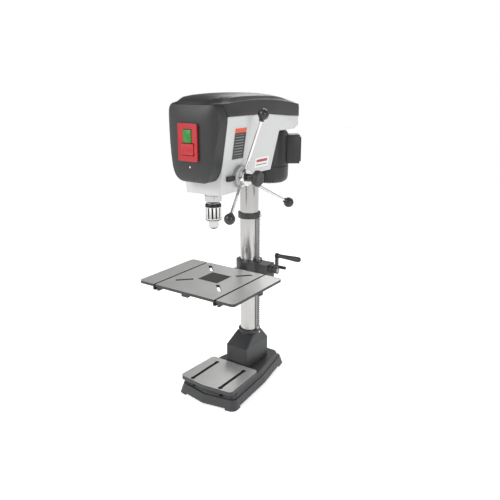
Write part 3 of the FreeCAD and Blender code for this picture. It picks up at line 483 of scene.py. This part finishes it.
def lathe(name, stations, place, along, sides=64):
    """A turned piece: a circle drawn out along an axis through stations of level and radius.

    It closes on itself as a ring where the last station is the first again.
    """
    way = Vector(along).normalized()
    start = Vector(place) * MM
    level, radius = stations[0]
    closed = stations[0] == stations[-1]
    made = begin("circle", name, vertices=sides, radius=radius * MM,
                 fill_type="NOTHING" if closed else "NGON", location=start + way * level * MM,
                 rotation=way.to_track_quat("Z", "Y").to_euler())
    bpy.ops.object.transform_apply(location=True, rotation=True, scale=True)
    bpy.ops.object.mode_set(mode="EDIT")
    bpy.ops.mesh.select_mode(type="VERT")
    bpy.ops.mesh.select_all(action="SELECT")
    for (level, radius), (next_level, next_radius) in zip(stations, stations[1:]):
        bpy.ops.mesh.extrude_region_move(TRANSFORM_OT_translate={"value": way * (next_level - level) * MM})
        share = next_radius / radius
        bpy.ops.transform.resize(value=(share, share, share), center_override=start + way * next_level * MM)
    tidy(made)
    return made


cover_screw = lathe("cover_screw", [(-1, 3.4), (1, 3.4), (1.8, 2.8), (2.2, 1.4)], (8, -337.6, 866), (0, -1, 0), 24)
finish_piece(cover_screw, "stand", "fasteners", cover_plastic, angle=30)

# ---------------------------------------------------------------- switch
# A paddle switch in a red moulded frame: a green start button above and a wide red stop
# paddle below, both of glossy plastic with a satin top.


def gloss_plastic(name, deep, light, rough=0.22, grit=900):
    finish = Finish(name)
    satin = finish.noise(grit, 2)
    return finish.surface({"Base Color": finish.blend(satin, deep, light), "Roughness": satin * 0.14 + rough,
                           "Coat Weight": 0.2, "Coat Roughness": 0.2}, satin, 0.00005)


red = gloss_plastic("switch_red", (0.36, 0.010, 0.015, 1), (0.47, 0.016, 0.022, 1))
green = gloss_plastic("switch_green", (0.010, 0.17, 0.014, 1), (0.018, 0.24, 0.022, 1))
black_gloss = gloss_plastic("black_phenolic", (0.010, 0.010, 0.011, 1), (0.022, 0.022, 0.024, 1), 0.24, 500)

bezel = block("switch_frame", (-40, -358, 924), (40, -350.6, 1046))
choose(bezel, "EDGE", lambda middle, way: abs(way.y) > 0.9)
bpy.ops.mesh.bevel(offset=6 * MM, segments=5, affect="EDGES")
choose(bezel, "FACE", lambda middle, way: way.y < -0.9)
bpy.ops.mesh.inset(thickness=1.5 * MM, depth=0)
bpy.ops.mesh.inset(thickness=3 * MM, depth=-1.2 * MM)
fuse(bezel, block("switch_case", (-29.5, -353, 940.5), (29.5, -310, 1029.5)))
carve(bezel, block("paddle_well", (-27, -365, 943), (27, -313, 983)),
      block("button_well", (-18, -365, 978), (18, -313, 1028)))
soften(bezel, 0.9, 35, 3)
finish_piece(bezel, "stand", "switch_red", red, "switch_housing")

start = block("green_button", (-16.5, -358.5, 984), (16.5, -322, 1026.5))
choose(start, "EDGE", lambda middle, way: abs(way.y) > 0.9)
bpy.ops.mesh.bevel(offset=2 * MM, segments=4, affect="EDGES")
choose(start, "FACE", lambda middle, way: way.y < -0.9)
bpy.ops.mesh.inset(thickness=2.5 * MM, depth=0.8 * MM)
soften(start, 0.8, 35, 3)
finish_piece(start, "start", "switch_green", green, "start_button")

stop = block("red_paddle", (-25.5, -361.5, 945.2), (25.5, -322, 982))
slice_at(stop, 2, [951, 957, 963, 969, 975])


def hollow_paddle(across, back, level):
    if back < -350:
        back += 2.6 * (1 - ((level - 963.6) / 18.4) ** 2)
    return across, back, level


reshape(stop, hollow_paddle)
choose(stop, "EDGE", lambda middle, way: abs(way.y) > 0.9 and abs(middle.x) > 20)
bpy.ops.mesh.bevel(offset=2.5 * MM, segments=4, affect="EDGES")
soften(stop, 0.9, 35, 3)
finish_piece(stop, "stop", "switch_red", red, "stop_paddle")

# ---------------------------------------------------------------- top cover
# The lid over the pulleys is a moulding of the same charcoal plastic, arched from front to
# back, with a bevelled shoulder along both sides. It swings to the left on two hinges.
COVER_FRONT = -338
COVER_END = 190
COVER_FOOT = 1040
CORNER = 60
ARCH = [(COVER_FRONT, 1105), (-332, 1112), (-322, 1118.5), (-308, 1124.5), (-288, 1130), (-262, 1134),
        (-235, 1136), (-170, 1138), (-110, 1138), (-50, 1137), (0, 1135), (50, 1130.5), (90, 1124),
        (125, 1116.5), (150, 1109.5), (172, 1101), (COVER_END, 1092)]
CREASE = [(COVER_FRONT, 1105), (-300, 1107), (-235, 1110.5), (-120, 1115), (0, 1112), (90, 1104), (150, 1097),
          (COVER_END, 1092)]

lid = block("lid_cover_top", (-COVER_HALF, COVER_FRONT, COVER_FOOT), (COVER_HALF, COVER_END, 1105))
choose(lid, "EDGE", lambda middle, way: abs(way.z) > 0.9 and middle.y < 0)
bpy.ops.mesh.bevel(offset=CORNER * MM, segments=11, affect="EDGES")
choose(lid, "FACE", lambda middle, way: way.z > 0.9)
for ring in (2.5, 4.5, 8, 10, 8):
    bpy.ops.mesh.inset(thickness=ring * MM, depth=0)
slice_at(lid, 1, range(-328, COVER_END, 14))
slice_at(lid, 0, [-100, -60, -40, -20, 0, 20, 40, 60, 100])
slice_at(lid, 2, [1060, 1080])


def inward(across, back):
    """The distance in from the lid's outline."""
    across = abs(across)
    centre = COVER_HALF - CORNER
    middle = COVER_FRONT + CORNER
    if across > centre and back < middle:
        return CORNER - math.hypot(across - centre, back - middle)
    return min(COVER_HALF - across, back - COVER_FRONT, COVER_END - back)


def arch_lid(across, back, level):
    """Arch the top, slope its shoulders down to a crease, and draw the rear in."""
    beside = abs(across)
    draw = max(0, back - 20) / 170 * 9 / COVER_HALF
    if level < 1104.9:
        return across * (1 - draw), back, level
    fade = min(1, (COVER_END - back) / 60) * min(1, (back - COVER_FRONT) / 30)
    crown = batten(ARCH, back) - 7.5 * min(1, beside / 86) ** 2.4 * fade
    crease = batten(CREASE, back)
    corner = share_of(beside - 45, 40) * share_of(-240 - back, 60)
    width = 3 + 22 * share_of(beside - 66, 46) + 45 * corner
    share = share_of(inward(across, back), width)
    share = 1 - (1 - share) ** (1 + 0.8 * share_of(-250 - back, 60) * (1 - corner))
    level = crease + (crown - crease) * share
    narrow = min(3, 3 * (level - COVER_FOOT) / 72) * share_of(beside - 100, 9)
    return math.copysign(beside * (1 - draw) - narrow, across), back, level


reshape(lid, arch_lid)
choose(lid, "FACE", lambda middle, way: way.z < -0.9 and middle.z < COVER_FOOT + 1)
bpy.ops.mesh.delete(type="FACE")
tidy(lid)
modify(lid, "SOLIDIFY", thickness=3.5 * MM, offset=-1)
LID_SEAM = [(-360, 1020), (220, 1020), (220, 1042.5), (COVER_END, 1046), (-60, 1067), (-284.5, 1067), (-305, 1105),
            (-360, 1105)]
carve(lid, yz_prism("lid_seam", LID_SEAM, 140))
soften(lid, 1.0, 38, 2)
finish_piece(lid, "lid_cover", "cover_dark", cover_plastic, "lid", angle=28)
dress(blackened, "lid_hinge_base", "lid_hinge_cover")

# ---------------------------------------------------------------- plates, pointer and gland
# A printed warning plate and a pale badge are riveted to the right side of the head. Both
# carry plain bands only. A black gland behind the head holds the supply lead.
warning_finish = Finish("warning_print")
height = warning_finish.axis("Z")
along = warning_finish.axis("Y")
header = height > 1.0105
border = (height > 1.0255) + (height < 0.9232) + (along < -0.2352) + (along > -0.1708)
stripes = warning_finish.node("Math", {"operation": "FRACT"}, {0: (height - 0.921) * 105})
lines = (stripes > 0.66) * (height > 0.929) * (height < 1.005) * (along > -0.2300) * (along < -0.1800)
lines = lines * (1 - header)
wear = warning_finish.noise(700, 2)
print_colour = warning_finish.blend(header, (0.012, 0.012, 0.012, 1), (0.72, 0.09, 0.035, 1))
print_colour = warning_finish.blend(lines * 0.45, print_colour, (0.45, 0.45, 0.44, 1))
border = warning_finish.node("Clamp", {}, {0: border}) * 0.75
print_colour = warning_finish.blend(border, print_colour, (0.55, 0.55, 0.53, 1))
warning = warning_finish.surface({"Base Color": print_colour, "Roughness": wear * 0.15 + 0.3}, edge=0.0003)
dress(warning, "warning_plate")
badge_finish = Finish("badge_print")
badge_level = badge_finish.axis("Z")
badge_along = badge_finish.axis("Y")
inside = (badge_along > -0.080) * (badge_along < -0.010)
band = (badge_level > 0.895) * (badge_level < 0.905) * inside
rule = (badge_level > 0.884) * (badge_level < 0.887) * inside
badge_wear = badge_finish.noise(600, 2)
badge_colour = badge_finish.blend(band, (0.80, 0.80, 0.79, 1), (0.42, 0.03, 0.05, 1))
badge_colour = badge_finish.blend(rule, badge_colour, (0.05, 0.05, 0.05, 1))
badge = badge_finish.surface({"Base Color": badge_colour, "Roughness": badge_wear * 0.15 + 0.25}, edge=0.0003)
dress(badge, "badge_plate")
satin_black = gloss_plastic("satin_black", (0.014, 0.014, 0.015, 1), (0.030, 0.030, 0.032, 1), 0.38, 700)
dress(satin_black, "depth_pointer", "cord_gland")

# ---------------------------------------------------------------- quill, spindle and chuck
# The quill and its collar are ground steel. The keyed chuck has a hardened steel sleeve with
# long flutes, a blued dome above them and a ring of key teeth below.
quill_steel = bare_metal("ground_quill", (1600, 2, (0.02, 0.02, 1)), (0.5, 0.5, 0.49, 1), (0.72, 0.72, 0.71, 1), 0.16, 0.14,
                         depth=0.00001, edge=0.0008)
dress(quill_steel, "quill", "quill_collar", "quill_bearings", "spindle", "chuck_body", "chuck_jaw_1", "chuck_jaw_2",
      "chuck_jaw_3", "pulley_bearing", "idler_post", "motor_rotor")

THROAT = -227
SPINDLE = (0, THROAT, 0)
UP = (0, 0, 1)
SLEEVE_SIDE = [(706, 24.3), (706, 28.2), (708, 29), (709.5, 29), (711, 28.6), (748, 28.6), (749.5, 29), (751, 29),
               (751, 24.3), (706, 24.3)]
sleeve = lathe("chuck_fluted_sleeve", SLEEVE_SIDE, SPINDLE, UP, 144)


def round_chuck(across, back):
    """The angle and the distance from the spindle's axis."""
    return math.atan2(back - THROAT, across), math.hypot(across, back - THROAT)


def flute(across, back, level):
    angle, radius = round_chuck(across, back)
    if radius > 28.4 and 710 < level < 749:
        wave = math.cos(12 * angle)
        radius -= 2.4 * max(0, wave) ** 0.5 if wave > 0.35 else 0
    return radius * math.cos(angle), THROAT + radius * math.sin(angle), level


reshape(sleeve, flute)
flute_finish = Finish("chuck_steel")
flute_lines = flute_finish.noise(1500, 2, (0.02, 0.02, 1))
out_x = flute_finish.axis("X")
out_y = flute_finish.axis("Y") + 0.227
flute_reach = out_x * out_x + out_y * out_y
# Painted shade: the flute bottoms, between radii of 24.6 and 27.4 mm, are coloured near black as if shaded in their
# recesses. The same mask also makes them rougher.
painted_flute_shade = (flute_reach < 0.0274 ** 2) * (flute_reach > 0.0246 ** 2)
ground = flute_finish.blend(flute_lines, (0.62, 0.62, 0.61, 1), (0.8, 0.8, 0.79, 1))
chuck_steel = flute_finish.surface({"Base Color": flute_finish.blend(painted_flute_shade, ground, (0.02, 0.02, 0.02, 1)),
                                    "Metallic": 1.0, "Roughness": flute_lines * 0.12 + painted_flute_shade * 0.3 + 0.12})
finish_piece(sleeve, "sleeve", "chrome", chuck_steel, "chuck_sleeve", angle=30)

DOME_SIDE = [(751.2, 24.3), (751.2, 29), (756, 28.8), (759.5, 27.8), (762, 26.2), (763.4, 24.3), (751.2, 24.3)]
dome = lathe("chuck_dome", DOME_SIDE, SPINDLE, UP, 96)
blued = bare_metal("blued_steel", (900, 2, (0.05, 0.05, 1)), (0.018, 0.018, 0.02, 1), (0.04, 0.04, 0.044, 1), 0.2, 0.25, 0.7)
finish_piece(dome, "sleeve", "steel_turned", blued)
TEETH_SIDE = [(702.4, 24.4), (702.4, 27.6), (703, 28.6), (705.8, 28.9), (705.8, 24.4), (702.4, 24.4)]
teeth = lathe("chuck_key_teeth", TEETH_SIDE, SPINDLE, UP, 144)


def notch(across, back, level):
    angle, radius = round_chuck(across, back)
    if level < 704 and math.cos(24 * angle) > 0.1:
        level += 2.2
    return radius * math.cos(angle), THROAT + radius * math.sin(angle), level


reshape(teeth, notch)
finish_piece(teeth, "sleeve", "steel_turned", blued)

# ---------------------------------------------------------------- feed
# The feed wheel turns a pinion through the head. Its hub and three spokes are chromed, and the
# ball knobs and the big depth-lock knob are black phenolic.
chrome = bare_metal("chrome", (60, 3), (0.70, 0.70, 0.69, 1), (0.80, 0.80, 0.79, 1), 0.10, 0.07, edge=0.0004)
FEED = Vector((0, -185, 859))
RIGHT = (1, 0, 0)
HUB_SIDE = [(98.4, 10.2), (98.4, 28.5), (99.4, 29.8), (104, 30), (118, 30), (120.6, 29.2), (122, 27), (122.4, 24),
            (122.4, 10.2), (98.4, 10.2)]
hub = lathe("feed_wheel_hub", HUB_SIDE, FEED, RIGHT, 96)
finish_piece(hub, "feed", "chrome", chrome, "feed_hub")
dress(chrome, "feed_spokes")

BALL_RADIUS = 18.5
COLLAR_LENGTH = 24
knob_side = [(0.2, 5.2), (0.2, 7.6), (1.2, 8.6), (6, 9.2), (9, 10.4)]
for turn in (-50, -38, -26, -14, -2, 10, 22, 34, 46, 58, 68, 78, 86):
    knob_side.append((COLLAR_LENGTH + BALL_RADIUS * math.sin(math.radians(turn)),
                      BALL_RADIUS * math.cos(math.radians(turn))))
for number, turn in enumerate((88.4, 208.4, 328.4), start=1):
    rim = Vector((0, math.cos(math.radians(turn)), math.sin(math.radians(turn))))
    centre = Vector((178, FEED.y, FEED.z)) + rim * 213
    foot = Vector((110, FEED.y, FEED.z)) + rim * 29
    way = (centre - foot).normalized()
    knob = lathe("ball_knob_%d" % number, knob_side, centre - way * COLLAR_LENGTH, way, 48)
    replaced = ["feed_knobs"] if number == 1 else []
    finish_piece(knob, "feed", "black_plastic", black_gloss, *replaced, angle=40)

LOCK_SIDE = [(123, 10), (123, 12.6), (124, 13.5), (138, 13.5), (142, 15.5), (146, 19.5), (150, 25), (153, 27.4),
             (157, 28), (165, 28), (168.5, 27), (170.4, 24.5), (171, 20), (170.2, 12), (169.8, 3)]
lock = lathe("lobed_lock_knob", LOCK_SIDE, FEED, RIGHT, 120)


def lobes(across, back, level):
    angle = math.atan2(level - FEED.z, back - FEED.y)
    radius = math.hypot(level - FEED.z, back - FEED.y)
    share = share_of(radius - 15, 9)
    radius *= 1 - 0.08 * share * (0.5 + 0.5 * math.cos(6 * angle)) ** 1.6
    return across, FEED.y + radius * math.cos(angle), FEED.z + radius * math.sin(angle)


reshape(lock, lobes)
finish_piece(lock, "lock_knob", "black_plastic", satin_black, "depth_lock_knob", angle=50)
scale_ring = bare_metal("depth_scale", (700, 2), (0.30, 0.30, 0.295, 1), (0.46, 0.46, 0.45, 1), 0.2, 0.25, 0.9, edge=0.0006)
dress(scale_ring, "depth_ring", "spring_housing")
dress(bare_metal("spring_steel", (500, 2), (0.05, 0.055, 0.08, 1), (0.12, 0.12, 0.15, 1), 0.2, 0.25), "return_spring")

# ---------------------------------------------------------------- drive
# Die-cast aluminium cones of pulleys carry ribbed rubber belts under the cover. The motor is
# a drawn steel shell over a bell, both in black enamel, with a box for its capacitor.
alloy = bare_metal("turned_alloy", (1200, 2, (0.03, 0.03, 1)), (0.55, 0.56, 0.57, 1), (0.76, 0.77, 0.78, 1), 0.2, 0.28,
                   depth=0.00003, edge=0.0006)
dress(alloy, "spindle_pulley", "idler_pulley", "motor_pulley")
belt_finish = Finish("belt_rubber")
belt_dust = belt_finish.noise(300, 3)
belt_rib = belt_finish.noise(500, 1, (1, 1, 0.1))
dress(belt_finish.surface({"Base Color": belt_finish.blend(belt_dust, (0.012, 0.012, 0.012, 1), (0.032, 0.031, 0.030, 1)),
                           "Roughness": belt_dust * 0.2 + 0.6}, belt_rib, 0.0002, 0.0008), "front_belt", "rear_belt")

motor_paint = painted("motor_enamel", (0.014, 0.014, 0.015, 1), (0.026, 0.026, 0.028, 1), 0.38, 0.0008, 800,
                      0.0001)
MOTOR = Vector((0, 143, 0))
DRUM_SIDE = [(854.2, 71), (854.2, 74.2), (855, 75), (968, 75), (974, 74), (980, 72), (986, 69), (992, 63), (997, 58),
             (1000, 53), (1000, 9), (992, 9), (992, 49), (982, 65), (966, 71), (854.2, 71)]
shell = lathe("motor_drum", DRUM_SIDE, MOTOR, UP, 96)
finish_piece(shell, "stand", "motor_black", motor_paint, "motor_shell")
BELL_SIDE = [(787, 20), (787, 49), (789, 57), (792, 63.5), (797, 69.5), (804, 73.2), (812, 75), (853, 76),
             (853.8, 75.4), (853.8, 70), (812, 69), (797, 50), (795, 20), (787, 20)]
bell = lathe("motor_end_bell", BELL_SIDE, MOTOR, UP, 96)


def round_motor(made, turn):
    """Swing a piece built along +X about the origin round the motor's axis."""
    take(made)
    made.matrix_world = Matrix.Translation(MOTOR * MM) @ Matrix.Rotation(math.radians(turn), 4, "Z")
    bpy.ops.object.transform_apply(location=True, rotation=True, scale=True)
    return made


carve(bell, *[round_motor(block("vent", (40, -3, 780), (72, 3, 801)), index * 30 + 15) for index in range(12)])
soften(bell, 0.5, 40, 2)
finish_piece(bell, "stand", "motor_black", motor_paint, "motor_bell")
end_cap = lathe("motor_bearing_cap", [(786.9, 3), (786.9, 17), (788, 20.5), (796, 20.5), (796, 3)], MOTOR, UP, 64)
finish_piece(end_cap, "stand", "motor_black", motor_paint)

BOX_TURN = 38
box = block("capacitor_case", (60, -36, 862), (116, 36, 975))
choose(box, "EDGE", lambda middle, way: abs(way.x) > 0.9)
bpy.ops.mesh.bevel(offset=8 * MM, segments=5, affect="EDGES")
carve(box, lathe("box_seat", [(800, 75.1), (1010, 75.1)], (0, 0, 0), UP, 128))
soften(box, 1.2, 40, 3)
finish_piece(round_motor(box, BOX_TURN), "stand", "motor_black", motor_paint, "capacitor_box")
cover = block("capacitor_lid", (116.2, -33, 870), (122, 33, 966))
choose(cover, "EDGE", lambda middle, way: abs(way.x) > 0.9)
bpy.ops.mesh.bevel(offset=7 * MM, segments=5, affect="EDGES")
choose(cover, "FACE", lambda middle, way: way.x > 0.9)
bpy.ops.mesh.inset(thickness=6 * MM, depth=-1 * MM)
soften(cover, 1.0, 35, 3)
finish_piece(round_motor(cover, BOX_TURN), "stand", "motor_black", satin_black, "capacitor_cover")
for number, (across, level) in enumerate(((-24, 879), (24, 879), (-24, 957), (24, 957)), start=1):
    screw = lathe("case_screw_%d" % number, [(120.6, 1), (120.6, 3.4), (121.6, 3.2), (122, 2), (122, 0.6)],
                  (0, across, level), RIGHT, 24)
    finish_piece(round_motor(screw, BOX_TURN), "stand", "fasteners", bright)

# ---------------------------------------------------------------- table
# An iron table, charcoal below and surface-ground on top, with two T-slots, four diagonal
# slots and a square of fibreboard under the drill.
table_paint = ground_top("table_paint", 0.483, (0.020, 0.020, 0.022, 1), (0.040, 0.041, 0.043, 1), (0.02, 1, 1))
dress(table_paint, "table")
fibre_finish = Finish("fibreboard")
fibres = fibre_finish.noise(900, 4, (1, 0.4, 1))
dress(fibre_finish.surface({"Base Color": fibre_finish.blend(fibres, (0.018, 0.018, 0.018, 1), (0.06, 0.06, 0.058, 1)),
                            "Roughness": fibres * 0.2 + 0.6}, fibres, 0.0002, 0.0006), "table_insert")

# ---------------------------------------------------------------- bracket, crank and clamp
# The bracket clamps the table to the column. A worm behind its crank climbs the rack, and a
# black lever at the back locks it.
dress(iron_paint, "table_bracket")
dress(motor_paint, "crank_arm", "clamp_lever")
GRIP_SIDE = [(133.4, 4.2), (133.4, 7.4), (134.6, 8.6), (138, 8.9), (141, 8.2), (144, 7.6), (150, 7.7), (175, 8.6),
             (200, 9.9), (216, 10.5), (224, 10.2), (228, 9.2), (230, 7.4), (230.4, 4.2), (133.4, 4.2)]
grip = lathe("turned_crank_grip", GRIP_SIDE, (0, 0, 532), RIGHT, 48)
finish_piece(grip, "grip", "black_plastic", black_gloss, "crank_grip", angle=40)

take()
